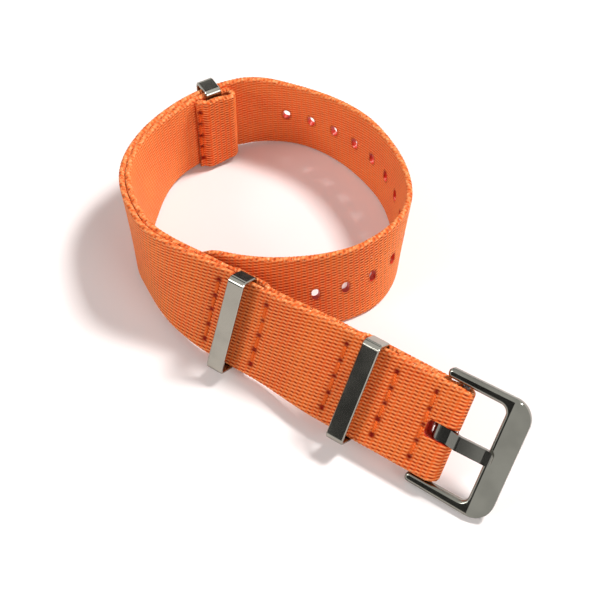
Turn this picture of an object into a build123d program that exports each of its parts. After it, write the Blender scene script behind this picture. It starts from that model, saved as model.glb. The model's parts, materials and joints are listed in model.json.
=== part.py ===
from build123d import *
from math import ceil, cos, degrees, pi, radians, sin
import os

# A woven pass-through watch strap with its buckle, spring bar and three keeper rings, standing on its edge.
# It runs from the buckle along -X, loops round clockwise, and its tail ends behind the front.
# A station is a length along the strap from the front's origin.
# An offset is measured along the outward normal from the outer face of the main strap.

# Webbing
strap_width = 20.0
webbing = 1.3
layer_gap = 0.1
section_step = 6.0
span_section_count = 4

# Plan of the strap, as it stands
front_straight = 64.8
near_left_radius, near_left_angle = 32.5, 73.9
far_left_radius, far_left_angle = 32.9, 55.7
crest_radius, crest_angle = 22.4, 41.9
far_right_radius, far_right_angle = 37.3, 66.0
near_right_radius, near_right_angle = 20.4, 64.6
tail_line = 4.3
tail_hidden = 3.0

# Lean from the vertical, and height of the lower edge above the surface it stands on
buckle_panel_lean_angle = 37.0
keeper_panel_lean_angle = 25.5
left_side_lean_angle = 10.0
right_side_lean_angle = 7.0
small_lean_angle = 5.5
tail_lean_angle = 10.0
buckle_panel_lift = 3.8
keeper_panel_lift = 2.6
loop_lift = 0.25
lift_margin = 9.5
stand_margin = 26.0
right_places_share = 0.13, 0.33, 0.5, 0.67

# Sewn rows: each is a set distance from the bar or the ring that it holds in place
bar_to_row_a = 4.5
row_b_to_near_ring = 5.7
near_ring_to_row_c = 5.8
row_d_to_middle_ring = 6.2
middle_ring_to_row_e = 5.5
row_f_to_end_ring = 4.8
row_margin = 1.0
stitch_pitch = 3.5
needle_hole_count = 5
thread = 0.6
thread_sink = 0.1

# Punched holes and the tail's tip
hole_start = 149.8
hole_pitch = 6.6
hole_count = 13
hole_height = 2.9
hole_width = 1.7
tip_length = 9.0

# Keeper rings, bent from flat strip
ring_wall = 0.7
ring_band = 3.8
ring_room = 4.0
ring_side_gap = 0.25
ring_corner = 1.2
ring_edge = 0.2
ring_clearance = 0.15
near_ring = 22.4
middle_ring = 52.7
end_ring = 130.6
ring_travel = 1.2
end_ring_travel = 0.6
ramp = 1.9

# Ends of the two straps
fold_end_to_near_ring = 4.2
strap_overlap = 3.7
fold_ramp = 3.3
end_ring_to_fold = 3.5
end_fold_radius = 0.7
end_cut_to_end_ring = 5.4
slot_side_gap = 0.25
slot_front = 3.75
slot_back = 3.0
slot_corner = 1.0

# Spring bar
bar_radius = 0.75
bar_bore = 0.55
bar_lip = 0.35
bar_play = 0.2
pin_radius = 0.4
pin_flange = 0.5
pin_flange_length = 0.5
pin_reach = 1.1
running = 0.05
coil_wire = 0.16
coil_turn_count = 9
wire_side_count = 6

# Buckle frame
bar_station = 3.6
arm_side_gap = 0.4
arm_width = 2.0
arm_height = 2.1
arm_tail = 4.2
arm_round = 0.9
arm_edge = 0.7
window_length = 8.9
window_corner = 1.6
outer_bar = 5.0
frame_flare = 0.39
frame_corner = 4.2
outer_bar_slope = 0.8
slope_start_share = 0.17

# Tongue
tongue_wall = 0.9
tongue_width = 3.0
tongue_rest = 1.0
tongue_back = 0.9
tongue_tip_radius = 1.1
tongue_hump = 0.75
tongue_rise_share = 0.11
tongue_hump_share = 0.32
tongue_land_share = 0.86
rest_gap = 0.02

overrun = 1.0
flat_angle = 1.0

# Places and sizes that follow from the ones above
row_a = bar_station + bar_to_row_a
row_b = near_ring - row_b_to_near_ring
row_c = near_ring + near_ring_to_row_c
row_d = middle_ring - row_d_to_middle_ring
row_e = middle_ring + middle_ring_to_row_e
row_f = end_ring - row_f_to_end_ring
fold_end = near_ring - fold_end_to_near_ring
keeper_strap_start = bar_station + strap_overlap
end_fold = end_ring + end_ring_to_fold
end_cut = end_ring - end_cut_to_end_ring
ring_depth = ring_room + 2 * ring_wall
ring_length = strap_width + 2 * (ring_side_gap + ring_wall)
slot_width = tongue_width + 2 * slot_side_gap
arm_inner = strap_width / 2 + arm_side_gap
arm_outer = arm_inner + arm_width
frame_half_width = arm_outer + frame_flare


# Path of the strap in plan: a straight, then clockwise arcs, as (length, radius) pairs

def travel(x, y, heading, length, radius):
    a = radians(heading)
    if radius is None:
        return x + length * cos(a), y + length * sin(a), heading
    b = a - length / radius
    centre_x, centre_y = x + radius * sin(a), y - radius * cos(a)
    return centre_x - radius * sin(b), centre_y + radius * cos(b), degrees(b)


def closing_arc(pieces):
    """The last arc brings the tail parallel to the front, a set distance behind it."""
    x, y, heading = 0.0, 0.0, 180.0
    for length, radius in pieces:
        x, y, heading = travel(x, y, heading, length, radius)
    turn = heading + 180.0
    radius = (y - tail_line) / (1.0 - cos(radians(turn)))
    return radius * radians(turn), radius


loop_arcs = (
    (near_left_radius, near_left_angle),
    (far_left_radius, far_left_angle),
    (crest_radius, crest_angle),
    (far_right_radius, far_right_angle),
    (near_right_radius, near_right_angle),
)
path = [(front_straight, None)] + [(r * radians(a), r) for r, a in loop_arcs]
path.append(closing_arc(path))
path_joints = [sum(length for length, radius in path[:i + 1]) for i in range(len(path))]
path_length = path_joints[-1]
tail_end = path_length - tail_hidden


def plan(station):
    x, y, heading = 0.0, 0.0, 180.0
    left = station
    for length, radius in path:
        step = min(left, length)
        x, y, heading = travel(x, y, heading, step, radius)
        left -= step
        if left <= 0:
            return x, y, heading
    return travel(x, y, heading, left, None)


def ring_zone(station, travel_each_way):
    half = ring_band / 2 + travel_each_way
    return station - half - ring_clearance, station + half + ring_clearance


# Lean and lift change smoothly between these stations

panel_end = row_c + row_margin
keeper_start = row_d - row_margin
_, keeper_end = ring_zone(middle_ring, ring_travel)
upright = keeper_end + stand_margin
end_zone = end_cut - ring_band
crest_end = end_fold + ring_band
right_side = tail_end - crest_end
left_side = end_zone - upright
right_places = [crest_end + right_side * share for share in right_places_share]

lean_places = (
    (panel_end, buckle_panel_lean_angle),
    (keeper_start, keeper_panel_lean_angle),
    (keeper_end, keeper_panel_lean_angle),
    (upright, 0),
    (upright + left_side / 2, -left_side_lean_angle),
    (end_zone, 0),
    (crest_end, 0),
    (right_places[0], right_side_lean_angle),
    (right_places[1], 0),
    (right_places[2], -small_lean_angle),
    (right_places[3], small_lean_angle),
    (tail_end - ring_length, tail_lean_angle),
)
ring_lift = (ring_length - strap_width) / 2
lift_places = (
    (panel_end, buckle_panel_lift),
    (keeper_start, keeper_panel_lift),
    (keeper_end + lift_margin, keeper_panel_lift),
    (upright + left_side / 2, 0),
    (end_zone, ring_lift),
    (crest_end, ring_lift),
    (right_places[0], loop_lift),
)


def blend(places, station):
    """Smooth change from one (station, value) place to the next, level outside them."""
    if station <= places[0][0]:
        return places[0][1]
    for (s0, v0), (s1, v1) in zip(places, places[1:]):
        if station <= s1:
            t = (station - s0) / (s1 - s0)
            return v0 + (v1 - v0) * t * t * (3 - 2 * t)
    return places[-1][1]


def strap_plane(station, offset=0.0):
    """Plane across the strap: X outward, Y up its width, Z along it away from the buckle."""
    x, y, heading = plan(station)
    a, h = radians(blend(lean_places, station)), radians(heading)
    outward = Vector(-sin(h) * cos(a), cos(h) * cos(a), sin(a))
    along = Vector(cos(h), sin(h), 0)
    centre = Vector(x, y, strap_width / 2 * cos(a) + blend(lift_places, station))
    return Plane(origin=centre + outward * offset, x_dir=outward, z_dir=along)


def face_plane(station, offset=0.0):
    """Plane in the strap's face: X along it away from the buckle, Y down its width, Z outward."""
    across = strap_plane(station, offset)
    return Plane(origin=across.origin, x_dir=across.z_dir, z_dir=across.x_dir)


def band(start, end, offsets):
    """One layer of webbing, its outer face at the given offsets: a loft for each even span."""
    marks = {s for s, v in offsets + lean_places + lift_places} | set(path_joints)
    marks = [start] + sorted(s for s in marks if start < s < end) + [end]
    layer = None
    for s0, s1 in zip(marks, marks[1:]):
        count = max(span_section_count, ceil((s1 - s0) / section_step))
        cuts = [s0 + (s1 - s0) * i / count for i in range(count + 1)]
        span = loft([strap_plane(s, blend(offsets, s) - webbing / 2)
                     * Rectangle(webbing, strap_width) for s in cuts])
        layer = span if layer is None else layer + span
    return layer


def turn_back(station, offset, inner_radius, side):
    """Half turn of webbing about an axis across the strap, as where it folds round a bar."""
    plane = strap_plane(station, offset - webbing / 2)
    axis_point = plane.origin - plane.x_dir * (webbing / 2 + inner_radius)
    section = plane * Rectangle(webbing, strap_width)
    return revolve(section, Axis(axis_point, plane.y_dir), side * 180.0)


# Levels of the layers

under_main = -webbing - layer_gap
under_fold = under_main - webbing - layer_gap
tunnel = -webbing - 2 * ring_clearance - ring_wall
bar_offset = -webbing - bar_radius - layer_gap
fold_level = bar_offset - bar_radius - layer_gap
end_bar_offset = under_main - webbing - end_fold_radius
end_level = end_bar_offset - end_fold_radius


def make_main_strap():
    near = bar_station
    body = band(near, tail_end, ((near, 0.0), (tail_end, 0.0)))
    fold = turn_back(near, 0.0, -bar_offset - webbing, 1)
    tuck = band(near, fold_end, ((near, fold_level), (near + fold_ramp, under_main)))
    strap = body + fold + tuck
    for cutter in tongue_slot() + tip_waste() + punched_holes():
        strap -= cutter
    return strap


def tongue_slot():
    """A slot round the fold, longer on the outer side, with rounded corners at its ends."""
    middle = face_plane(bar_station, bar_offset)
    fold_reach = -bar_offset + overrun
    cutters = []
    for reach, depth in ((slot_front, fold_reach), (slot_back, -fold_reach - webbing)):
        outline = RectangleRounded(reach + fold_reach, slot_width, slot_corner)
        cutters.append(extrude(middle * Pos((reach - fold_reach) / 2, 0) * outline, depth))
    return cutters


def tip_waste():
    """What the die cuts off the tail to leave a rounded tip."""
    plane = face_plane(tail_end - tip_length / 2, -webbing / 2)
    over = Pos(overrun / 2, 0) * Rectangle(tip_length + overrun, strap_width + 2 * overrun)
    kept = Pos(-tip_length / 2, 0) * Ellipse(tip_length, strap_width / 2)
    return [extrude(plane * (over - kept), webbing, both=True)]


def punched_holes():
    oval = Rotation(0, 0, 90) * SlotOverall(hole_height, hole_width)
    places = [hole_start + i * hole_pitch for i in range(hole_count)]
    return [extrude(face_plane(s, -webbing / 2) * oval, webbing, both=True) for s in places]


def make_keeper_strap():
    near0, near1 = ring_zone(near_ring, ring_travel)
    mid0, mid1 = ring_zone(middle_ring, ring_travel)
    offsets = (
        (near1, under_fold),
        (near1 + ramp, under_main),
        (mid0 - ramp, under_main),
        (mid0, tunnel),
        (mid1, tunnel),
        (mid1 + ramp, under_main),
    )
    outer = band(keeper_strap_start, end_fold, offsets)
    turn = turn_back(end_fold, under_main, end_fold_radius, -1)
    zone_start, _ = ring_zone(end_ring, end_ring_travel)
    inner = band(end_cut, end_fold, ((zone_start - ramp, under_fold), (zone_start, end_level)))
    return outer + turn + inner


def make_stitches(station, top, bottom):
    """A row of lockstitch: rounded stitches on both faces, joined at each needle hole."""
    depth = top - bottom - 2 * thread_sink
    middle = strap_plane(station, (top + bottom) / 2)
    reach = stitch_pitch * (needle_hole_count - 1)
    stitch = Rotation(0, 0, 90) * SlotCenterToCenter(stitch_pitch, thread)
    row = Sketch()
    for level in (-depth / 2, depth / 2):
        for i in range(needle_hole_count - 1):
            row += Pos(level, (stitch_pitch - reach) / 2 + stitch_pitch * i) * stitch
    for i in range(needle_hole_count):
        row += Pos(0, stitch_pitch * i - reach / 2) * Rectangle(depth, thread)
    return extrude(middle * row, thread / 2, both=True)


def make_ring(station, inner_face):
    """A keeper ring; inner_face is the offset of its inner bar's outer side."""
    middle = inner_face - ring_wall + ring_depth / 2
    plane = strap_plane(station, middle)
    outline = RectangleRounded(ring_depth, ring_length, ring_corner)
    hollow = RectangleRounded(ring_depth - 2 * ring_wall, ring_length - 2 * ring_wall,
                              ring_corner - ring_wall)
    ring = extrude(plane * (outline - hollow), ring_band / 2, both=True)
    rims = ring.faces().filter_by(GeomType.PLANE)
    sides = [f for f in rims if abs(f.normal_at().dot(plane.z_dir)) > cos(radians(flat_angle))]
    return chamfer([e for f in sides for e in f.edges()], ring_edge)


# Buckle: its plane has X away from the strap, Y up the width, Z outward, origin on the bar

def buckle_plane():
    across = strap_plane(bar_station, bar_offset)
    return Plane(origin=across.origin, x_dir=-across.z_dir, z_dir=across.x_dir)


frame_reach = window_length + outer_bar
frame_top = arm_height / 2
tongue_mid = bar_radius + running + tongue_wall / 2


def frame_outline():
    """The frame seen from the front: tapered arms, rounded outer corners and the window."""
    with BuildSketch() as sketch:
        with BuildLine():
            Polyline(
                (-arm_tail, arm_outer), (frame_reach, frame_half_width),
                (frame_reach, -frame_half_width), (-arm_tail, -arm_outer), (-arm_tail, arm_outer))
        make_face()
        fillet(sketch.vertices().group_by(Axis.X)[-1], frame_corner)
        with Locations(((window_length - arm_tail - overrun) / 2, 0)):
            Rectangle(window_length + arm_tail + overrun, 2 * arm_inner, mode=Mode.SUBTRACT)
        inner = [v for v in sketch.vertices() if abs(v.X - window_length) < running]
        fillet(inner, window_corner)
        fillet(sketch.vertices().group_by(Axis.X)[0], arm_round)
    return sketch.sketch


def slope_waste():
    """What is ground off the outer bar's top, leaving a face that slopes down and outward."""
    start = window_length + outer_bar * slope_start_share
    with BuildSketch(Plane.XZ) as sketch:
        with BuildLine():
            Polyline(
                (start, frame_top), (frame_reach + overrun, frame_top + overrun),
                (frame_reach + overrun, frame_top - outer_bar_slope),
                (frame_reach, frame_top - outer_bar_slope), (start, frame_top))
        make_face()
    return extrude(sketch.sketch, frame_half_width + overrun, both=True)


def make_buckle_frame():
    block = extrude(frame_outline(), arm_height / 2, both=True)
    flat = [f for f in block.faces() if abs(f.normal_at().Z) > cos(radians(flat_angle))]
    frame = fillet([e for f in flat for e in f.edges()], arm_edge)
    frame -= slope_waste()
    for side in (-1, 1):
        start = Plane(origin=(0, side * arm_inner, 0), z_dir=(0, side, 0))
        frame -= extrude(start * Circle(pin_radius + running), pin_reach + bar_play)
    return frame


def make_tongue():
    """Strip with an oval curl round the bar, a hump over the fold and a rounded tip."""
    tip = window_length + tongue_rest
    reach = tip + tongue_wall / 2
    low = frame_top + rest_gap + tongue_wall / 2
    rise = (tip * tongue_rise_share, tongue_mid)
    hump = (tip * tongue_hump_share, tongue_mid + tongue_hump)
    land = (tip * tongue_land_share, low)
    with BuildSketch(Plane.XZ) as sketch:
        with BuildLine():
            FilletPolyline((0, tongue_mid), rise, hump, land, (tip, low), radius=tongue_wall)
            offset(amount=tongue_wall / 2, side=Side.BOTH, kind=Kind.TANGENT)
        make_face()
    with BuildSketch() as seen_from_above:
        with Locations((reach / 2, 0)):
            Rectangle(reach, tongue_width)
        fillet(seen_from_above.vertices().group_by(Axis.X)[-1], tongue_tip_radius)
    blade = extrude(sketch.sketch, tongue_width / 2, both=True)
    blade &= extrude(seen_from_above.sketch, reach, both=True)
    loop = SlotCenterToCenter(tongue_back, 2 * (bar_radius + running + tongue_wall))
    curl = extrude(Plane.XZ * Pos(-tongue_back / 2, 0) * loop, tongue_width / 2, both=True)
    eye = Cylinder(bar_radius + running, tongue_width + overrun, rotation=(90, 0, 0))
    return (blade + curl) - eye


# Spring bar: a tube with a lip at each end, two flanged pins and the spring between them

tube_half = arm_inner - bar_play
flange_rest = tube_half - bar_lip
spring_half = flange_rest - pin_flange_length


def make_bar_tube():
    tube = Cylinder(bar_radius, 2 * tube_half)
    bore = Cylinder(bar_bore, 2 * flange_rest)
    mouths = Cylinder(pin_radius + running, 2 * tube_half + overrun)
    return Rotation(90, 0, 0) * (tube - bore - mouths)


def make_pin(side):
    """The pin's flange rests on the tube's lip, its rounded tip stands in the frame's arm."""
    length = tube_half + bar_play + pin_reach - spring_half
    along = Align.CENTER, Align.CENTER, Align.MIN
    shank = Cylinder(pin_radius, length, align=along)
    shank = fillet(shank.edges().group_by(Axis.Z)[-1], pin_radius / 2)
    pin = shank + Cylinder(pin_flange, pin_flange_length, align=along)
    return Rotation(-90 * side, 0, 0) * Pos(0, 0, spring_half) * pin


def make_coil():
    """Open coils of round wire between the two flanges, clear of them and of the bore."""
    radius = pin_flange - coil_wire / 2
    span = 2 * (spring_half - running) - coil_wire
    pitch = span / coil_turn_count
    line = Helix(pitch=pitch, height=span, radius=radius)
    section = Plane(origin=line @ 0, z_dir=line % 0) * RegularPolygon(coil_wire / 2, wire_side_count)
    coil = sweep(section, path=line, is_frenet=True)
    return Rotation(90, 0, 0) * Pos(0, 0, -span / 2) * coil


parts = {}


def keep(name, shape):
    shape.label = name
    parts[name] = shape


keep("main_strap", make_main_strap())
keep("keeper_strap", make_keeper_strap())
keep("stitch_row_a", make_stitches(row_a, 0, under_fold - webbing))
keep("stitch_row_b", make_stitches(row_b, 0, under_fold - webbing))
keep("stitch_row_c", make_stitches(row_c, 0, under_main - webbing))
keep("stitch_row_d", make_stitches(row_d, 0, under_main - webbing))
keep("stitch_row_e", make_stitches(row_e, 0, under_main - webbing))
keep("stitch_row_f", make_stitches(row_f, under_main - thread, under_fold - webbing))
keep("keeper_ring_near", make_ring(near_ring, -webbing - ring_clearance))
keep("keeper_ring_middle", make_ring(middle_ring, -webbing - ring_clearance))
keep("keeper_ring_end", make_ring(end_ring, under_main - webbing - ring_clearance))
buckle = buckle_plane().location
keep("buckle_frame", buckle * make_buckle_frame())
keep("buckle_tongue", buckle * make_tongue())
keep("spring_bar_tube", buckle * make_bar_tube())
keep("spring_bar_pin_upper", buckle * make_pin(1))
keep("spring_bar_pin_lower", buckle * make_pin(-1))
keep("spring_bar_coil", buckle * make_coil())

# The part's origin is the middle of the bottom of its box
box = Compound(list(parts.values())).bounding_box()
origin = Vector((box.min.X + box.max.X) / 2, (box.min.Y + box.max.Y) / 2, box.min.Z)
move = Location(-origin)

os.makedirs("parts", exist_ok=True)
for name, shape in parts.items():
    export_step(move * shape, "parts/" + name + ".step")

bar = move * buckle_plane().location
print("bar axis at", bar.position, "along", buckle_plane().y_dir)
for name, station in (("near", near_ring), ("middle", middle_ring), ("end", end_ring)):
    plane = strap_plane(station)
    print(name, "ring at", plane.origin - origin, "along", plane.z_dir, "outward", plane.x_dir)
print("box", box.size, "path", round(path_length, 1), "closing radius", round(path[-1][1], 1))
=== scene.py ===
import json
import math
import random

import bpy
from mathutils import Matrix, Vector


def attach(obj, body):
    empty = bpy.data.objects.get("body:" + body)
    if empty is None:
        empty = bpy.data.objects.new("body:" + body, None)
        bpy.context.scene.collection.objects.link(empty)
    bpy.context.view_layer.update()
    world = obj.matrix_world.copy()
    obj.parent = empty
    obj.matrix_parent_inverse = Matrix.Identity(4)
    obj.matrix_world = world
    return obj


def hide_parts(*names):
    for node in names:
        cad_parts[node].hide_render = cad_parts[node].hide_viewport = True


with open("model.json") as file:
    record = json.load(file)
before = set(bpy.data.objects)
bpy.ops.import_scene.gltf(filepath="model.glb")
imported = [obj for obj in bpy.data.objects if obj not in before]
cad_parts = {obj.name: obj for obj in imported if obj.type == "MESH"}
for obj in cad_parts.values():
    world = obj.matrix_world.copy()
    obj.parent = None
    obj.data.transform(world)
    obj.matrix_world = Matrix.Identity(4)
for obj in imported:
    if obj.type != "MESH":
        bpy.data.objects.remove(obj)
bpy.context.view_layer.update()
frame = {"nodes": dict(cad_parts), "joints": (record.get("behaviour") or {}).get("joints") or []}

# A woven pass-through watch strap. Metres, in the CAD frame.
# The two webbings and the rows of thread are modelled here, along the same path as their solids.
# A station is a length along the strap, from its buckle end.
# An offset is measured outward from the main strap's outer face.

# Webbing, as in the solids. Each arc of the loop has its radius and its turn in degrees.
strap_width = 0.020
webbing = 0.0013
layer_gap = 0.0001
front_straight = 0.0648
loop_arcs = ((0.0325, 73.9), (0.0329, 55.7), (0.0224, 41.9), (0.0373, 66.0), (0.0204, 64.6))
tail_line = 0.0043
tail_hidden = 0.003
tip_length = 0.009

# Lean in degrees and lift, as in the solids
buckle_panel_lean, keeper_panel_lean, tail_lean = 37.0, 25.5, 10.0
left_side_lean, right_side_lean, small_lean = 10.0, 7.0, 5.5
buckle_panel_lift, keeper_panel_lift, loop_lift, ring_lift = 0.0038, 0.0026, 0.00025, 0.00095
lift_margin, stand_margin = 0.0095, 0.026
right_places_share = 0.13, 0.33, 0.5, 0.67
row_margin = 0.001

# Rings and rows, as stations
near_ring, middle_ring, end_ring = 0.0224, 0.0527, 0.1306
ring_band, ring_wall, ring_length = 0.0038, 0.0007, 0.0219
ring_travel, end_ring_travel = 0.0012, 0.0006
ring_clearance = 0.00015
tunnel_ramp = 0.0019
row_stations = {"a": 0.0081, "b": 0.0167, "c": 0.0282, "d": 0.0465, "e": 0.0582, "f": 0.1258}
stitch_pitch = 0.0035
stitches_per_row = 5

# Folds and cut ends
bar_station, bar_radius = 0.0036, 0.00075
fold_end, fold_ramp = 0.0182, 0.0033
keeper_start_station = 0.0073
end_fold, end_fold_radius, end_cut = 0.1341, 0.0007, 0.1252
slot_width, slot_front, slot_back, slot_corner = 0.0035, 0.00375, 0.003, 0.001
cutter_margin = 0.0005

# Punched holes
hole_start, hole_pitch, hole_count = 0.1498, 0.0066, 13
hole_height, hole_width = 0.0029, 0.0017
hole_stations = [hole_start + i * hole_pitch for i in range(hole_count)]

# How finely the webbing is meshed
row_step = 0.00021
turn_rows = 18
across_count = 48
edge_crowding = 0.35
oval_points, corner_points = 20, 6
seed = 7

# The webbing's map: its units in a metre, and millimetres in a unit. The thread has its own.
map_scale = 10
map_to_mm = 100.0
width_mm = strap_width * 1000
thread_map_scale = 100

# Woven edge: its rounding, the beads of yarn round it and its slow wander
edge_round, edge_power = 0.0006, 2.4
bead_pitch, bead_depth, bead_slant = 0.00092, 0.00006, 2.6
bead_rise = 3
edge_wander, wander_waves = 0.00004, (0.0021, 0.0037)

# Where the webbing draws in at its folds, and how its cut end is pressed flat
fold_waist = 0.0004
loop_waist, loop_waist_reach, waist_power = 0.0011, 0.0036, 1.5
cut_reach, cut_share = 0.0012, 0.45

# Needle holes: how far each strays, its size, and the dent and painted shade round it
needle_wander, needle_sizes = 0.00012, (0.85, 1.25)
pit_radius, pit_depth = 0.00066, 0.00042
pit_reach, pit_falloff, pit_shade_strength = 1.6, 1.6, 1.5
seam_radius, seam_depth = 0.001, 0.0002

# Red rims of the punched holes
rim_reach, rim_spread, rim_darkness = 0.0003, 1.6, 0.55

# Stitches: a short raised thread between each pair of needle holes
stitch_half_width, stitch_half_height = 0.00036, 0.00018
stitch_gap = 0.0004
stitch_middle_depth, stitch_end_depth = 0.00011, 0.0004
stitch_arch_power, stitch_end_swell, stitch_arch_swell = 0.45, 0.55, 0.45
stitch_rings, ring_points = 14, 10


# Path of the strap, as in the solids: its place in plan and its heading in degrees

path_start = (0.0, 0.0, 180.0)


def travel(x, y, heading, length, radius):
    """Place and heading after a straight, or after an arc if there is a radius."""
    a = math.radians(heading)
    if radius is None:
        return x + length * math.cos(a), y + length * math.sin(a), heading
    b = a - length / radius
    centre_x, centre_y = x + radius * math.sin(a), y - radius * math.cos(a)
    return centre_x - radius * math.sin(b), centre_y + radius * math.cos(b), math.degrees(b)


def closing_arc(pieces):
    """The arc that brings the path back alongside its start."""
    x, y, heading = path_start
    for length, radius in pieces:
        x, y, heading = travel(x, y, heading, length, radius)
    turn = heading + path_start[2]
    radius = (y - tail_line) / (1.0 - math.cos(math.radians(turn)))
    return radius * math.radians(turn), radius


path = [(front_straight, None)] + [(r * math.radians(a), r) for r, a in loop_arcs]
path.append(closing_arc(path))
tail_end = sum(length for length, radius in path) - tail_hidden


def plan(station):
    """Place and heading in plan at a station."""
    x, y, heading = path_start
    left = station
    for length, radius in path:
        step = min(left, length)
        x, y, heading = travel(x, y, heading, step, radius)
        left -= step
        if left <= 0:
            break
    return x, y, heading


def zone(station, travel_each_way):
    """The stretch of strap that a ring needs for its band and its travel."""
    half = ring_band / 2 + travel_each_way + ring_clearance
    return station - half, station + half


_, near1 = zone(near_ring, ring_travel)
mid0, mid1 = zone(middle_ring, ring_travel)
end0, _ = zone(end_ring, end_ring_travel)

panel_end = row_stations["c"] + row_margin
keeper_start = row_stations["d"] - row_margin
keeper_end = mid1
upright = keeper_end + stand_margin
end_zone = end_cut - ring_band
crest_end = end_fold + ring_band
right_side = tail_end - crest_end
left_middle = (upright + end_zone) / 2
right_places = [crest_end + right_side * share for share in right_places_share]
lean_places = (
    (panel_end, buckle_panel_lean),
    (keeper_start, keeper_panel_lean),
    (keeper_end, keeper_panel_lean),
    (upright, 0),
    (left_middle, -left_side_lean),
    (end_zone, 0),
    (crest_end, 0),
    (right_places[0], right_side_lean),
    (right_places[1], 0),
    (right_places[2], -small_lean),
    (right_places[3], small_lean),
    (tail_end - ring_length, tail_lean),
)
lift_places = (
    (panel_end, buckle_panel_lift),
    (keeper_start, keeper_panel_lift),
    (keeper_end + lift_margin, keeper_panel_lift),
    (left_middle, 0),
    (end_zone, ring_lift),
    (crest_end, ring_lift),
    (right_places[0], loop_lift),
)


def level_at(places, station):
    """Smooth change from one (station, value) place to the next, level outside them."""
    if station <= places[0][0]:
        return places[0][1]
    for (s0, v0), (s1, v1) in zip(places, places[1:]):
        if station <= s1:
            t = (station - s0) / (s1 - s0)
            return v0 + (v1 - v0) * t * t * (3 - 2 * t)
    return places[-1][1]


def strap_frame(station):
    """Centre of the outer face, outward, up the width and along the strap, before the shift."""
    x, y, heading = plan(station)
    a, h = math.radians(level_at(lean_places, station)), math.radians(heading)
    outward = Vector((-math.sin(h) * math.cos(a), math.cos(h) * math.cos(a), math.sin(a)))
    along = Vector((math.cos(h), math.sin(h), 0))
    height = strap_width / 2 * math.cos(a) + level_at(lift_places, station)
    return Vector((x, y, height)), outward, along.cross(outward), along


# The buckle's hinge, read from the frame, says where the path's own origin lies
bar_offset = -webbing - bar_radius - layer_gap
bar_centre = Vector(next(j for j in frame["joints"] if j["name"] == "buckle_hinge")["pos_m"])
path_bar, path_outward, _, _ = strap_frame(bar_station)
shift = bar_centre - path_bar - path_outward * bar_offset


def on_strap(station, offset):
    """Middle of the strap's width at a station and an offset."""
    centre, outward, _, _ = strap_frame(station)
    return centre + shift + outward * offset


# Offsets of the layers' outer faces, level or as (station, offset) places
under_main = -webbing - layer_gap
under_fold = under_main - webbing - layer_gap
tunnel = -webbing - 2 * ring_clearance - ring_wall
fold_level = bar_offset - bar_radius - layer_gap
end_bar_offset = under_main - webbing - end_fold_radius
end_level = end_bar_offset - end_fold_radius
outer_levels = ((0, 0),)
tuck_levels = ((bar_station, fold_level), (bar_station + fold_ramp, under_main))
keeper_levels = (
    (near1, under_fold), (near1 + tunnel_ramp, under_main),
    (mid0 - tunnel_ramp, under_main), (mid0, tunnel),
    (mid1, tunnel), (mid1 + tunnel_ramp, under_main))
loop_levels = ((end0 - tunnel_ramp, under_fold), (end0, end_level))


# Middle lines of the webbings: each point is a place, the direction up the width, a half width

def steps(start, end):
    """Stations from start to end, about row_step apart."""
    count = max(2, round(abs(end - start) / row_step))
    return [start + (end - start) * i / count for i in range(count + 1)]


def straight_run(start, end, levels):
    """A layer along the strap, its outer face at the levels given."""
    points = []
    for s in steps(start, end):
        _, _, up, _ = strap_frame(s)
        points.append((on_strap(s, level_at(levels, s) - webbing / 2), up, strap_width / 2))
    return points


def turn_run(station, axis_offset, radius, toward, start_side):
    """Half turn round an axis across the strap; toward is +1 where it bulges to the tail."""
    _, outward, up, along = strap_frame(station)
    axis = on_strap(station, axis_offset)
    points = []
    for i in range(1, turn_rows):
        a = math.pi * i / turn_rows
        reach = outward * (start_side * math.cos(a)) + along * (toward * math.sin(a))
        points.append((axis + reach * radius, up, strap_width / 2 - fold_waist * math.sin(a) ** 2))
    return points


def line_length(line):
    return sum((a[0] - b[0]).length for a, b in zip(line, line[1:]))


def waisted(line, middle):
    """The same line, drawn in near a point of it, as the webbing is where it folds tightly."""
    points = []
    for centre, up, half in line:
        near = max(0.0, 1 - (centre - middle).length / loop_waist_reach)
        points.append((centre, up, half - loop_waist * near ** waist_power))
    return points


main_line = (
    straight_run(tail_end, bar_station, outer_levels)
    + turn_run(bar_station, bar_offset, bar_radius + layer_gap + webbing / 2, -1, 1)
    + straight_run(bar_station, fold_end, tuck_levels))
keeper_line = (
    straight_run(keeper_start_station, end_fold, keeper_levels)
    + turn_run(end_fold, end_bar_offset, end_fold_radius + webbing / 2, 1, 1)
    + straight_run(end_fold, end_cut, loop_levels))
keeper_line = waisted(keeper_line, on_strap(end_fold, end_bar_offset))


# Meshes

def new_mesh(name, verts, faces):
    mesh = bpy.data.meshes.new(name)
    mesh.from_pydata([tuple(v) for v in verts], [], faces)
    return mesh


def new_object(name, data):
    obj = bpy.data.objects.new(name, data)
    bpy.context.collection.objects.link(obj)
    return obj


def shade_smooth(mesh):
    mesh.polygons.foreach_set("use_smooth", [True] * len(mesh.polygons))


def closed_faces(rows, around, forward=True, base=0):
    """Quads between rows of points, and a face over each end."""
    faces = []
    for i in range(rows - 1):
        for k in range(around):
            a, b = base + i * around + k, base + i * around + (k + 1) % around
            faces.append((a, b, b + around, a + around))
    faces.append(tuple(base + k for k in range(around))[::-1])
    faces.append(tuple(base + (rows - 1) * around + k for k in range(around)))
    return faces if forward else [face[::-1] for face in faces]


def tip_share(distance):
    """Share of the full width at a distance from the rounded tip."""
    t = max(0.0, 1 - distance / tip_length)
    return math.sqrt(1 - t * t)


def section_heights():
    """Heights across the strap from -1 to 1, closer together at its edges."""
    even = [2 * i / across_count - 1 for i in range(across_count + 1)]
    return [math.sin(math.pi / 2 * t) * edge_crowding + t * (1 - edge_crowding) for t in even]


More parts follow.
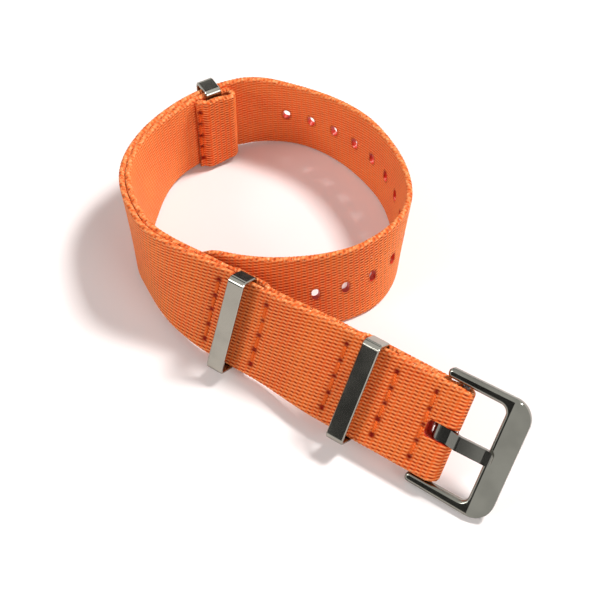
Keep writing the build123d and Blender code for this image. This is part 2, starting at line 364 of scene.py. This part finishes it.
def map_webbing(mesh, places, around):
    """The weave's map: along the webbing and round it, with no jump where the round closes."""
    layer = mesh.uv_layers.new(name="weave")
    for poly in mesh.polygons:
        turns = [v % around for v in poly.vertices]
        closes = 0 in turns and around - 1 in turns
        for loop in poly.loop_indices:
            v = mesh.loops[loop].vertex_index
            run, height = places[v]
            if closes and v % around == 0:
                height += 2 * strap_width
            layer.data[loop].uv = (run * map_scale, height * map_scale)


def ribbon(name, line, outer_sign, rounded_tip, pressed_end):
    """A closed band of webbing along a line, with its woven edges and its map."""
    rng = random.Random(seed)
    phase = [rng.uniform(0, math.tau) for _ in range(4)]
    heights = section_heights()
    verts, places, edges = [], [], []
    run, whole = 0.0, line_length(line)
    for i, (centre, up, half) in enumerate(line):
        before, after = line[max(0, i - 1)][0], line[min(len(line) - 1, i + 1)][0]
        if i:
            run += (centre - line[i - 1][0]).length
        normal = (after - before).cross(up).normalized() * outer_sign
        if rounded_tip:
            half = max(half * tip_share(run), edge_round)
        left = min(1.0, (whole - run) / cut_reach)
        press = cut_share + (1 - cut_share) * left * (2 - left) if pressed_end else 1.0
        wander = edge_wander * (math.sin(run / wander_waves[0] + phase[0])
                                + math.sin(run / wander_waves[1] + phase[1]))
        for side in (1, -1):
            for h in (heights if side > 0 else heights[::-1])[:-1]:
                y = h * half
                into = max(0.0, abs(y) - (half - edge_round)) / edge_round
                thick = 0.0
                if into < 1:
                    thick = webbing / 2 * (1 - into ** edge_power) ** (1 / edge_power)
                turn = math.tau * run / bead_pitch + side * thick / webbing * bead_slant
                bead = bead_depth * math.sin(turn + (phase[2] if y > 0 else phase[3]))
                thick = (thick + bead * min(1.0, into * bead_rise) * (1 - into)) * press
                reach = y + math.copysign((bead + wander) * into, y)
                verts.append(centre + up * reach + normal * (side * thick))
                places.append((run, (h + 1 if side > 0 else 3 - h) / 2 * strap_width))
                edges.append(into)
    around = 2 * across_count
    mesh = new_mesh(name, verts, closed_faces(len(line), around, outer_sign > 0))
    map_webbing(mesh, places, around)
    mesh.attributes.new("edge", "FLOAT", "POINT").data.foreach_set("value", edges)
    # pit carries the needle holes' painted shade and the red rims of the punched holes
    mesh.attributes.new("pit", "FLOAT", "POINT")
    shade_smooth(mesh)
    return new_object(name, mesh)


def needle_points():
    """For each row: the place of each needle hole along and up the strap, and its size."""
    rng = random.Random(seed)
    reach = stitch_pitch * (stitches_per_row - 1)
    rows = {}
    for name in row_stations:
        rows[name] = []
        for i in range(stitches_per_row):
            x = rng.uniform(-1, 1) * needle_wander
            h = stitch_pitch * i - reach / 2 + rng.uniform(-1, 1) * needle_wander
            rows[name].append((x, h, rng.uniform(*needle_sizes)))
    return rows


def dent(obj, faces):
    """Presses the webbing in along each sewn row and paints shade into its needle holes: its name,
    offset of the face, inward sign.
    """
    mesh = obj.data
    needle_shade = [0.0] * len(mesh.vertices)
    rows = needle_points()
    for name, offset, inward_sign in faces:
        centre, outward, up, along = strap_frame(row_stations[name])
        origin = centre + shift + outward * offset
        inward = outward * inward_sign
        needles = rows[name]
        low, high = needles[0][1], needles[-1][1]
        for v in mesh.vertices:
            d = v.co - origin
            x = d.dot(along)
            if abs(x) > 2 * pit_radius or abs(d.dot(outward)) > webbing / 3:
                continue
            y = d.dot(up)
            push = 0.0
            if low <= y <= high:
                push = seam_depth * max(0.0, 1 - (x / seam_radius) ** 2)
            for stray, h, size in needles:
                r = math.hypot(x - stray, y - h) / (pit_radius * size)
                if r < pit_reach:
                    near = math.exp(-r * r * pit_falloff)
                    push = max(push, pit_depth * near)
                    needle_shade[v.index] = max(needle_shade[v.index], min(1.0, near * pit_shade_strength))
            v.co = v.co + inward * push
    mesh.attributes["pit"].data.foreach_set("value", needle_shade)


def darken_rims(obj):
    """Marks the webbing round each punched hole."""
    marks = obj.data.attributes["pit"].data
    for s in hole_stations:
        _, _, up, along = strap_frame(s)
        middle = on_strap(s, -webbing / 2)
        for v in obj.data.vertices:
            d = v.co - middle
            if d.length < hole_height:
                x, y = d.dot(along), max(0.0, abs(d.dot(up)) - (hole_height - hole_width) / 2)
                out = (math.hypot(x, y) - hole_width / 2) / rim_reach
                mark = rim_darkness * min(1.0, max(0.0, rim_spread - out))
                marks[v.index].value = max(marks[v.index].value, mark)


def prism(name, place, x_dir, y_dir, outline, depth):
    """A closed prism: outline points in (x, y) of the given directions, depth each way."""
    normal = x_dir.cross(y_dir)
    verts = [place + x_dir * x + y_dir * y + normal * z
             for z in (-depth, depth) for x, y in outline]
    n = len(outline)
    faces = [tuple(range(n))[::-1], tuple(range(n, 2 * n))]
    faces += [(i, (i + 1) % n, (i + 1) % n + n, i + n) for i in range(n)]
    obj = new_object(name, new_mesh(name, verts, faces))
    obj.data.materials.append(cut_nylon)
    return obj


def oval(length, width):
    """A slot's outline: two half circles joined by straights, its length along y."""
    r = width / 2
    half = oval_points // 2
    outline = []
    for end in (1, -1):
        for i in range(half + 1):
            a = math.pi * i / half + (0 if end > 0 else math.pi)
            outline.append((r * math.cos(a), end * (length / 2 - r) + r * math.sin(a)))
    return outline


def rounded_corners(width, low, high, radius):
    """A rectangle with rounded corners, as wide as given, from low to high along y."""
    outline = []
    for x, y, start in ((1, high, 0), (-1, high, 1), (-1, low, 2), (1, low, 3)):
        centre_x = x * (width / 2 - radius)
        centre_y = y - radius if y == high else y + radius
        for i in range(corner_points + 1):
            a = math.pi / 2 * (start + i / corner_points)
            outline.append((centre_x + radius * math.cos(a), centre_y + radius * math.sin(a)))
    return outline


def slot_cutter(name, reach, side):
    """The tongue's slot on one side of the bar: from past the fold to the slot's end."""
    _, outward, up, along = strap_frame(bar_station)
    fold_reach = webbing + layer_gap + bar_radius + cutter_margin
    outline = rounded_corners(slot_width, -reach, fold_reach, slot_corner)
    place = on_strap(bar_station, bar_offset) + outward * (side * fold_reach)
    return prism(name, place, up, -along, outline, fold_reach)


def joined(name, objs):
    """One object with the meshes of several that don't touch."""
    verts, faces = [], []
    for o in objs:
        base = len(verts)
        verts += [v.co for v in o.data.vertices]
        faces += [tuple(base + i for i in p.vertices) for p in o.data.polygons]
    obj = new_object(name, new_mesh(name, verts, faces))
    obj.data.materials.append(cut_nylon)
    for o in objs:
        bpy.data.objects.remove(o)
    return obj


def cut(obj, cutters):
    """Takes the cutters out of an object and deletes them."""
    for cutter in cutters:
        m = obj.modifiers.new("cut", "BOOLEAN")
        m.operation, m.solver, m.object = "DIFFERENCE", "EXACT", cutter
        m.material_mode = "TRANSFER"
    graph = bpy.context.evaluated_depsgraph_get()
    done = bpy.data.meshes.new_from_object(obj.evaluated_get(graph))
    obj.modifiers.clear()
    obj.data = done
    for cutter in cutters:
        bpy.data.objects.remove(cutter)


def stitches(name, station, faces):
    """One row of stitches. faces lists (offset of the face, +1 outward or -1 inward)."""
    centre, outward, up, along = strap_frame(station)
    needles = needle_points()[name]
    verts, quads, places = [], [], []
    for face, side in faces:
        for (x0, h0, _), (x1, h1, _) in zip(needles, needles[1:]):
            quads += closed_faces(stitch_rings + 1, ring_points, base=len(verts))
            h0, h1 = h0 + stitch_gap, h1 - stitch_gap
            for i in range(stitch_rings + 1):
                t = i / stitch_rings
                arch = math.sin(math.pi * t) ** stitch_arch_power if 0 < t < 1 else 0.0
                depth = stitch_middle_depth * arch + stitch_end_depth * (1 - arch)
                middle = (centre + shift + outward * (face - side * depth)
                          + up * (h0 + (h1 - h0) * t) + along * (x0 + (x1 - x0) * t))
                swell = stitch_end_swell + stitch_arch_swell * arch
                for k in range(ring_points):
                    a = math.tau * k / ring_points
                    verts.append(middle + along * (math.cos(a) * stitch_half_width * swell)
                                 + outward * (math.sin(a) * stitch_half_height * swell))
                    places.append((t * (h1 - h0) * thread_map_scale, k / ring_points))
    mesh = new_mesh("thread_row_" + name, verts, quads)
    layer = mesh.uv_layers.new(name="weave")
    for loop in mesh.loops:
        layer.data[loop.index].uv = places[loop.vertex_index]
    shade_smooth(mesh)
    mesh.materials.append(thread_nylon)
    obj = new_object("thread_row_" + name, mesh)
    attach(obj, "strap")
    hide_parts("stitch_row_" + name)


# Materials

def rgba(r, g, b):
    """A colour as it shows on the screen, turned to the shader's linear scale."""
    def linear(c):
        c /= 255
        return c / 12.92 if c <= 0.04045 else ((c + 0.055) / 1.055) ** 2.4
    return linear(r), linear(g), linear(b), 1.0


# Nylon
orange = rgba(246, 108, 38)
orange_light = rgba(255, 168, 106)
orange_deep = rgba(242, 94, 32)
gap_shade_colour = rgba(150, 24, 8)
pit_shade_and_rim_colour = rgba(140, 14, 4)
glint_colour = rgba(255, 214, 160)
sheen_colour = rgba(255, 214, 130)
cut_deep, cut_light = rgba(184, 28, 12), rgba(222, 60, 24)

# The weave, in millimetres of the map: columns across the strap, each with a ladder of gaps.
# A crown is the yarn that stands up between gaps, a joint the thin line where crowns meet, and a
# seam the line between columns. The inner face is calmer and paler, and the selvedge is roped.
# The gaps, joints and seams carry painted shade, the crowns a painted highlight, the rope's turns
# painted light and shade, and the spots on the selvedge are painted glints.
column_pitch, gap_rise, column_shift_share = 1.25, 0.73, 0.336
gap_half_length, gap_half_width, gap_bend = 0.60, 0.17, 0.05
gap_length_spread, gap_depth_spread = 0.16, 0.35
gap_core, gap_end = 0.2, 1.1
joint_core, joint_end, joint_depth = 0.02, 0.12, 0.2
crown_foot, crown_top = 0.14, 0.34
crown_full, crown_end, crown_low = 0.36, 0.62, 0.35
seam_start, seam_full = 0.50, 0.625
inner_calm, inner_pale = 0.55, 0.14
selvedge_width, selvedge_core = 0.8, 0.6
edge_start, edge_full = 0.0, 0.4
rope_slant, rope_low, rope_high = 3.4, -0.9, 0.2
wobble_scale, wobble_along, wobble_up = 0.6, 0.5, -0.35
broad_scale, broad_low, broad_high = 0.12, 0.35, 0.65
glint_scale, glint_low, glint_high = 3.0, 0.63, 0.70
fine_scale = 5.0

# How strongly the weave's painted shade and highlights tint it, and how far each part
# stands out, as shares of the bump
crown_highlight_tint, seam_shade_tint, rope_light_and_shade_tint, glint_tint = 0.85, 0.06, 0.3, 0.7
gap_height, crown_height, seam_height, fine_height, rope_height = -1.0, 0.4, -0.06, 0.25, 0.5
weave_bump, weave_bump_strength = 0.0002, 0.8

# Heat-cut nylon and sewing thread
cut_grain, cut_bump = 1800.0, 0.00015
thread_twist, thread_plies, thread_bump = 22.0, 2.0, 0.00012
ply_low, ply_high = 0.05, 0.6

# Steel: scratches along the brushed axis, and smears that change its tone and gloss
scratch_scale, scratch_stretch = 3500.0, 0.06
scratch_bump, scratch_strength = 0.000001, 0.2
smear_scale, smear_tone = 160.0, 0.84
smear_low, tone_high, gloss_high = 0.3, 0.65, 0.7
gloss_low_share, gloss_high_share = 0.92, 1.1

# Each steel's colour, its roughness and the axis along which it is brushed
steels = {
    "ring_steel": ((0.34, 0.33, 0.287, 1.0), 0.14, 2),
    "frame_steel": ((0.25, 0.245, 0.212, 1.0), 0.12, 2),
    "tongue_steel": ((0.22, 0.215, 0.19, 1.0), 0.16, 0),
    # The spring bar's steel is darker and rougher, partly its plain finish and partly painted shade
    # for the bar seen deep in the tongue's slot
    "bar_steel": ((0.16, 0.16, 0.155, 1.0), 0.35, 1),
}
node_steels = {
    "keeper_ring_near": "ring_steel",
    "keeper_ring_middle": "ring_steel",
    "keeper_ring_end": "ring_steel",
    "buckle_frame": "frame_steel",
    "buckle_tongue": "tongue_steel",
    "spring_bar_tube": "bar_steel",
    "spring_bar_pin_upper": "bar_steel",
    "spring_bar_pin_lower": "bar_steel",
    "spring_bar_coil": "bar_steel",
}


def material(name):
    m = bpy.data.materials.new(name)
    m.use_nodes = True
    return m


class Graph:
    """A short way to write a node tree: each call makes one node and gives its output."""

    def __init__(self, tree):
        self.tree = tree
        self.shader = next((n for n in tree.nodes if n.type == "BSDF_PRINCIPLED"), None)

    def node(self, kind, **settings):
        n = self.tree.nodes.new(kind)
        for key, value in settings.items():
            setattr(n, key, value)
        return n

    def put(self, socket, value):
        if isinstance(value, bpy.types.NodeSocket):
            self.tree.links.new(value, socket)
        else:
            socket.default_value = value

    def shade(self, **values):
        """Sets the shader's sockets, with _ for the spaces in their names."""
        for name, value in values.items():
            self.put(self.shader.inputs[name.replace("_", " ")], value)

    def math(self, operation, *values):
        n = self.node("ShaderNodeMath", operation=operation)
        for socket, value in zip(n.inputs, values):
            self.put(socket, value)
        return n.outputs[0]

    def ramp(self, value, low, high, to_low=0.0, to_high=1.0, kind="SMOOTHSTEP"):
        n = self.node("ShaderNodeMapRange", interpolation_type=kind)
        for socket, v in zip(n.inputs, (value, low, high, to_low, to_high)):
            self.put(socket, v)
        return n.outputs[0]

    def mix(self, share, a, b):
        n = self.node("ShaderNodeMix", data_type="RGBA")
        self.put(n.inputs["Factor"], share)
        self.put(n.inputs["A"], a)
        self.put(n.inputs["B"], b)
        return n.outputs["Result"]

    def noise(self, vector, scale, detail=2.0):
        n = self.node("ShaderNodeTexNoise")
        self.put(n.inputs["Vector"], vector)
        self.put(n.inputs["Scale"], scale)
        self.put(n.inputs["Detail"], detail)
        return n.outputs["Fac"]

    def bump(self, height, distance, strength=1.0):
        n = self.node("ShaderNodeBump")
        self.put(n.inputs["Height"], height)
        self.put(n.inputs["Distance"], distance)
        self.put(n.inputs["Strength"], strength)
        return n.outputs[0]

    def attribute(self, name):
        return self.node("ShaderNodeAttribute", attribute_name=name).outputs["Fac"]

    def weave_map(self):
        """The weave's map: as a vector, and along and round."""
        uv = self.node("ShaderNodeUVMap", uv_map="weave").outputs[0]
        split = self.node("ShaderNodeSeparateXYZ")
        self.put(split.inputs[0], uv)
        return uv, split.outputs[0], split.outputs[1]

    def place(self):
        return self.node("ShaderNodeTexCoord").outputs["Object"]

    def cell(self, counted, pitch):
        """The number of the cell that a value falls in, and the distance from its middle."""
        middle = self.math("SUBTRACT", self.math("FRACT", counted), 0.5)
        return self.math("FLOOR", counted), self.math("MULTIPLY", middle, pitch)


def map_in_mm(g):
    """The map in millimetres: as a vector, and along and round with the yarns' wobble."""
    uv, along, across = g.weave_map()
    scaled = g.node("ShaderNodeVectorMath", operation="SCALE")
    g.put(scaled.inputs[0], uv)
    g.put(scaled.inputs["Scale"], map_to_mm)
    place = scaled.outputs[0]
    wobble = g.math("SUBTRACT", g.noise(place, wobble_scale), 0.5)
    u = g.math("MULTIPLY_ADD", along, map_to_mm, g.math("MULTIPLY", wobble, wobble_along))
    v = g.math("MULTIPLY_ADD", across, map_to_mm, g.math("MULTIPLY", wobble, wobble_up))
    return place, u, v


def floats(g, u, v, slant):
    """The gaps, the crowns of yarn between them and the seams between columns, 0 to 1."""
    columns = g.math("ADD", g.math("DIVIDE", u, column_pitch), 0.5)
    column, du = g.cell(columns, column_pitch)
    stepped = g.math("MULTIPLY_ADD", column, slant * column_shift_share,
                     g.math("ADD", g.math("DIVIDE", v, gap_rise), 0.5))
    row, dv = g.cell(stepped, gap_rise)
    slope = slant * column_shift_share * gap_rise / column_pitch
    wave = g.math("SINE", g.math("MULTIPLY", du, math.tau / column_pitch))
    bent = g.math("ADD", g.math("MULTIPLY_ADD", du, slope, dv),
                  g.math("MULTIPLY", wave, -slant * gap_bend))
    across, rise = g.math("ABSOLUTE", du), g.math("ABSOLUTE", bent)

    # Each gap has its own length and depth
    pair = g.node("ShaderNodeCombineXYZ")
    g.put(pair.inputs[0], column)
    g.put(pair.inputs[1], row)
    chance = g.node("ShaderNodeTexWhiteNoise", noise_dimensions="2D")
    g.put(chance.inputs["Vector"], pair.outputs[0])
    odd = chance.outputs["Value"]
    length = g.math("MULTIPLY_ADD", odd, gap_length_spread, gap_half_length - gap_length_spread / 2)
    depth = g.math("MULTIPLY_ADD", odd, gap_depth_spread, 1 - gap_depth_spread)
    reach = g.math("SQRT", g.math(
        "ADD", g.math("POWER", g.math("DIVIDE", du, length), 2.0),
        g.math("POWER", g.math("DIVIDE", bent, gap_half_width), 2.0)))
    gap = g.math("MULTIPLY", g.ramp(reach, gap_core, gap_end, 1.0, 0.0), depth)
    gap = g.math("MAXIMUM", gap, g.ramp(rise, joint_core, joint_end, joint_depth, 0.0))

    crown = g.math("MULTIPLY", g.ramp(rise, crown_foot, crown_top),
                   g.ramp(across, crown_full, crown_end, 1.0, crown_low))
    return gap, crown, g.ramp(across, seam_start, seam_full)


def roped_edge(g, u, v):
    """The woven edge, 0 to 1, and the wave of the yarn that turns round it."""
    half_turn = g.math("FRACT", g.math("DIVIDE", v, width_mm))
    nearer = g.math("MINIMUM", half_turn, g.math("SUBTRACT", 1.0, half_turn))
    rim = g.ramp(g.math("MULTIPLY", nearer, width_mm),
                 selvedge_width * selvedge_core, selvedge_width, 1.0, 0.0)
    rim = g.math("MAXIMUM", rim, g.ramp(g.attribute("edge"), edge_start, edge_full))
    turn = g.math("ADD", g.math("MULTIPLY", u, math.tau / (bead_pitch * 1000)),
                  g.math("MULTIPLY", v, rope_slant))
    return rim, g.math("SINE", turn)


def weave(name, slant):
    """Nylon webbing: columns of floats with painted shade in the gaps between them, painted
    highlights on their crowns, and a roped edge.
    """
    m = material(name)
    g = Graph(m.node_tree)
    place, u, v = map_in_mm(g)
    gap, crown, seam = floats(g, u, v, slant)
    rim, rope = roped_edge(g, u, v)
    inner = g.math("LESS_THAN", v, width_mm)
    gap = g.math("MULTIPLY", gap, g.math("MULTIPLY_ADD", inner, -inner_calm, 1.0))

    tone = g.mix(g.ramp(g.noise(place, broad_scale), broad_low, broad_high), orange, orange_deep)
    # Painted highlight on the crowns of yarn
    tone = g.mix(g.math("MULTIPLY", crown, crown_highlight_tint), tone, orange_light)
    # Painted shade in the seams between columns
    tone = g.mix(g.math("MULTIPLY", seam, seam_shade_tint), tone, orange_deep)
    tone = g.mix(g.math("MULTIPLY", inner, inner_pale), tone, orange_light)
    # Painted shade in the gaps and joints
    tone = g.mix(gap, tone, gap_shade_colour)
    # The rope's turns painted lighter where they rise and deeper where they sink: painted light and
    # shade
    roped = g.mix(g.ramp(rope, rope_low, rope_high), orange_deep, orange_light)
    tone = g.mix(g.math("MULTIPLY", rim, rope_light_and_shade_tint), tone, roped)
    # Painted glints on the selvedge
    glints = g.ramp(g.noise(place, glint_scale, 1.0), glint_low, glint_high)
    glints = g.math("MULTIPLY", glints, g.math("MULTIPLY", rim, glint_tint))
    tone = g.mix(glints, tone, glint_colour)
    # Painted shade in the needle holes, and the red rims of the punched holes
    tone = g.mix(g.attribute("pit"), tone, pit_shade_and_rim_colour)

    height = g.math("MULTIPLY", gap, gap_height)
    fine = g.noise(place, fine_scale)
    ropes = g.math("MULTIPLY", rim, rope)
    for part, share in ((crown, crown_height), (seam, seam_height),
                        (fine, fine_height), (ropes, rope_height)):
        height = g.math("MULTIPLY_ADD", part, share, height)
    g.shade(Base_Color=tone, Roughness=0.5, Specular_IOR_Level=0.08,
            Sheen_Weight=0.25, Sheen_Roughness=0.4, Sheen_Tint=sheen_colour,
            Normal=g.bump(height, weave_bump, weave_bump_strength))
    return m


def melted(name):
    """Heat-cut nylon, in the punched holes and the tongue's slot. Its deep red is partly the melted
    cut and partly painted shade inside them.
    """
    m = material(name)
    g = Graph(m.node_tree)
    grain = g.noise(g.place(), cut_grain)
    g.shade(Base_Color=g.mix(grain, cut_deep, cut_light), Roughness=0.4,
            Normal=g.bump(grain, cut_bump))
    return m


def twisted_thread(name):
    """Bonded sewing thread, with its twist as a slanting bump and painted shade between its plies.
    """
    m = material(name)
    g = Graph(m.node_tree)
    _, along, across = g.weave_map()
    turns = g.math("ADD", g.math("MULTIPLY", along, thread_twist),
                   g.math("MULTIPLY", across, thread_plies))
    ply = g.math("ABSOLUTE", g.math("SINE", g.math("MULTIPLY", turns, math.pi)))
    g.shade(Base_Color=g.mix(g.ramp(ply, ply_low, ply_high), orange_deep, orange),
            Roughness=0.5, Specular_IOR_Level=0.1, Normal=g.bump(ply, thread_bump))
    return m


def steel(name, colour, roughness, grain_axis):
    """Brushed steel: fine scratches stretched along an axis, and faint smears in the gloss."""
    m = material(name)
    g = Graph(m.node_tree)
    place = g.place()
    stretch = g.node("ShaderNodeMapping")
    g.put(stretch.inputs["Vector"], place)
    g.put(stretch.inputs["Scale"],
          tuple(scratch_stretch if i == grain_axis else 1.0 for i in range(3)))
    scratches = g.noise(stretch.outputs[0], scratch_scale)
    smears = g.noise(place, smear_scale)
    darker = tuple(c * smear_tone for c in colour[:3]) + (1.0,)
    g.shade(Base_Color=g.mix(g.ramp(smears, smear_low, tone_high), darker, colour),
            Metallic=1.0,
            Roughness=g.ramp(smears, smear_low, gloss_high,
                             roughness * gloss_low_share, roughness * gloss_high_share),
            Normal=g.bump(scratches, scratch_bump, scratch_strength))
    return m


webbing_main = weave("webbing_main", 1.0)
webbing_keeper = weave("webbing_keeper", -1.0)
cut_nylon = melted("cut_nylon")
thread_nylon = twisted_thread("thread_nylon")


# Webbing

main_strap = ribbon("webbing_main_strap", main_line, -1, True, False)
keeper_strap = ribbon("webbing_keeper_strap", keeper_line, 1, False, True)
dent(main_strap, [(name, 0.0, -1) for name in "abcde"])
dent(keeper_strap, [(name, under_fold - webbing, 1) for name in "abf"]
     + [(name, under_main - webbing, 1) for name in "cde"])
main_strap.data.materials.append(webbing_main)
main_strap.data.materials.append(cut_nylon)
keeper_strap.data.materials.append(webbing_keeper)

hole_cutters = []
for s in hole_stations:
    _, _, up, along = strap_frame(s)
    hole_cutters.append(prism("hole", on_strap(s, -webbing / 2), along, up,
                              oval(hole_height, hole_width), webbing))
darken_rims(main_strap)
cut(main_strap, [joined("holes", hole_cutters),
                 slot_cutter("slot_outer", slot_front, 1),
                 slot_cutter("slot_inner", slot_back, -1)])

# Thread, on both faces of the sewn layers
for name in row_stations:
    outer = under_main - webbing / 2 if name == "f" else 0.0
    inner = (under_fold if name in "abf" else under_main) - webbing
    stitches(name, row_stations[name], [(outer, 1), (inner, -1)])

for obj, node, line in ((main_strap, "main_strap", main_line),
                        (keeper_strap, "keeper_strap", keeper_line)):
    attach(obj, "strap")
    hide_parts(node)

# Metal
made_steels = {name: steel(name, *look) for name, look in steels.items()}
for node, name in node_steels.items():
    mesh = frame["nodes"][node].data
    mesh.materials.clear()
    mesh.materials.append(made_steels[name])


# Floor and world: white where the camera or the steel sees them, plain light on the object

floor_size = 4.0
floor_tone, floor_seen_tone = (0.72, 0.70, 0.69, 1.0), (0.93, 0.87, 0.85, 1.0)
floor_glow, glow_tone = 0.04, (1.0, 0.985, 0.985, 1.0)
floor_fade_start, floor_fade_end = 0.14, 0.6
world_light = 0.24
square = ((-1, -1), (1, -1), (1, 1), (-1, 1))


def pale_floor(name):
    """Keeps the shadows near the object, and fades to white for the camera farther out."""
    m = material(name)
    m.node_tree.nodes.clear()
    g = Graph(m.node_tree)
    rays = g.node("ShaderNodeLightPath").outputs
    seen = g.math("MAXIMUM", rays["Is Camera Ray"], rays["Is Glossy Ray"])
    diffuse = g.node("ShaderNodeBsdfDiffuse")
    g.put(diffuse.inputs["Color"], g.mix(seen, floor_tone, floor_seen_tone))
    away = g.node("ShaderNodeVectorMath", operation="LENGTH")
    g.put(away.inputs[0], g.place())
    fade = g.ramp(away.outputs["Value"], floor_fade_start, floor_fade_end)
    glow = g.node("ShaderNodeEmission")
    g.put(glow.inputs["Color"], glow_tone)
    g.put(glow.inputs["Strength"], g.math("MULTIPLY_ADD", fade, rays["Is Camera Ray"],
                                          g.math("MULTIPLY", seen, floor_glow)))
    both = g.node("ShaderNodeAddShader")
    g.put(both.inputs[0], diffuse.outputs[0])
    g.put(both.inputs[1], glow.outputs[0])
    g.put(g.node("ShaderNodeOutputMaterial").inputs["Surface"], both.outputs[0])
    return m


def white_world(name):
    """White where it is seen, and dimmer where it only lights the object."""
    world = bpy.data.worlds.new(name)
    world.use_nodes = True
    g = Graph(world.node_tree)
    rays = g.node("ShaderNodeLightPath").outputs
    either = g.math("MAXIMUM", rays["Is Camera Ray"], rays["Is Transmission Ray"])
    seen = g.math("MAXIMUM", either, rays["Is Glossy Ray"])
    background = g.tree.nodes["Background"]
    g.put(background.inputs["Strength"],
          g.ramp(seen, 0.0, 1.0, world_light, 1.0, kind="LINEAR"))
    g.put(background.inputs["Color"], (1.0, 1.0, 1.0, 1.0))
    return world


floor = new_object("floor", new_mesh(
    "floor", [(x * floor_size, y * floor_size, 0.0) for x, y in square], [(0, 1, 2, 3)]))
floor.data.materials.append(pale_floor("floor_white"))
scene = bpy.context.scene
scene.world = white_world("studio")

# Lamps: place, size and power
aim = (0.0, 0.0, 0.01)
lamps = {
    "key": ((0.385, 0.617, 1.078), 0.26, 16.0),
    "side": ((1.0, -0.25, 0.45), 0.5, 3.3),
    "fill": ((-0.62, -0.9, 0.66), 0.5, 6.3),
}
for name, (place, size, power) in lamps.items():
    lamp = bpy.data.lights.new(name, "AREA")
    lamp.shape = "SQUARE"
    lamp.size = size
    lamp.energy = power
    obj = new_object(name, lamp)
    obj.location = place
    obj.rotation_euler = (Vector(aim) - Vector(place)).to_track_quat("-Z", "Y").to_euler()

# Dark cards that only the steel mirrors: middle, half across, half up and grey
cards = {
    "front_card": ((-0.12, -0.46, 0.18), (0.155, 0.0, 0.0), (0.0, -0.02, 0.105), 0.03),
    "back_card": ((-0.23, 0.30, 0.40), (0.10, 0.06, 0.0), (0.05, -0.07, 0.05), 0.12),
    "low_card": ((-0.18, 0.47, 0.065), (0.13, 0.04, 0.0), (0.0, 0.0, 0.055), 0.05),
}
for name, (middle, across, up, grey) in cards.items():
    paint = material(name)
    Graph(paint.node_tree).shade(Base_Color=(grey, grey, grey, 1.0), Roughness=1.0)
    corners = [Vector(middle) + Vector(across) * x + Vector(up) * y for x, y in square]
    card = new_object(name, new_mesh(name, corners, [(0, 1, 2, 3)]))
    card.data.materials.append(paint)
    card.visible_camera = card.visible_diffuse = card.visible_shadow = False

# Camera, as fitted to the photo: looking down and round by these degrees
camera_place = (0.092992, -0.15184, 0.20989)
camera_down, camera_round = 50.014, 34.411
camera_data = bpy.data.cameras.new("camera")
camera = new_object("camera", camera_data)
camera_data.sensor_width = 36.0
camera_data.lens = 75.38
camera.location = camera_place
camera.rotation_euler = (math.radians(90 - camera_down), 0.0, math.radians(camera_round))
scene.camera = camera
scene.view_settings.view_transform = "Standard"
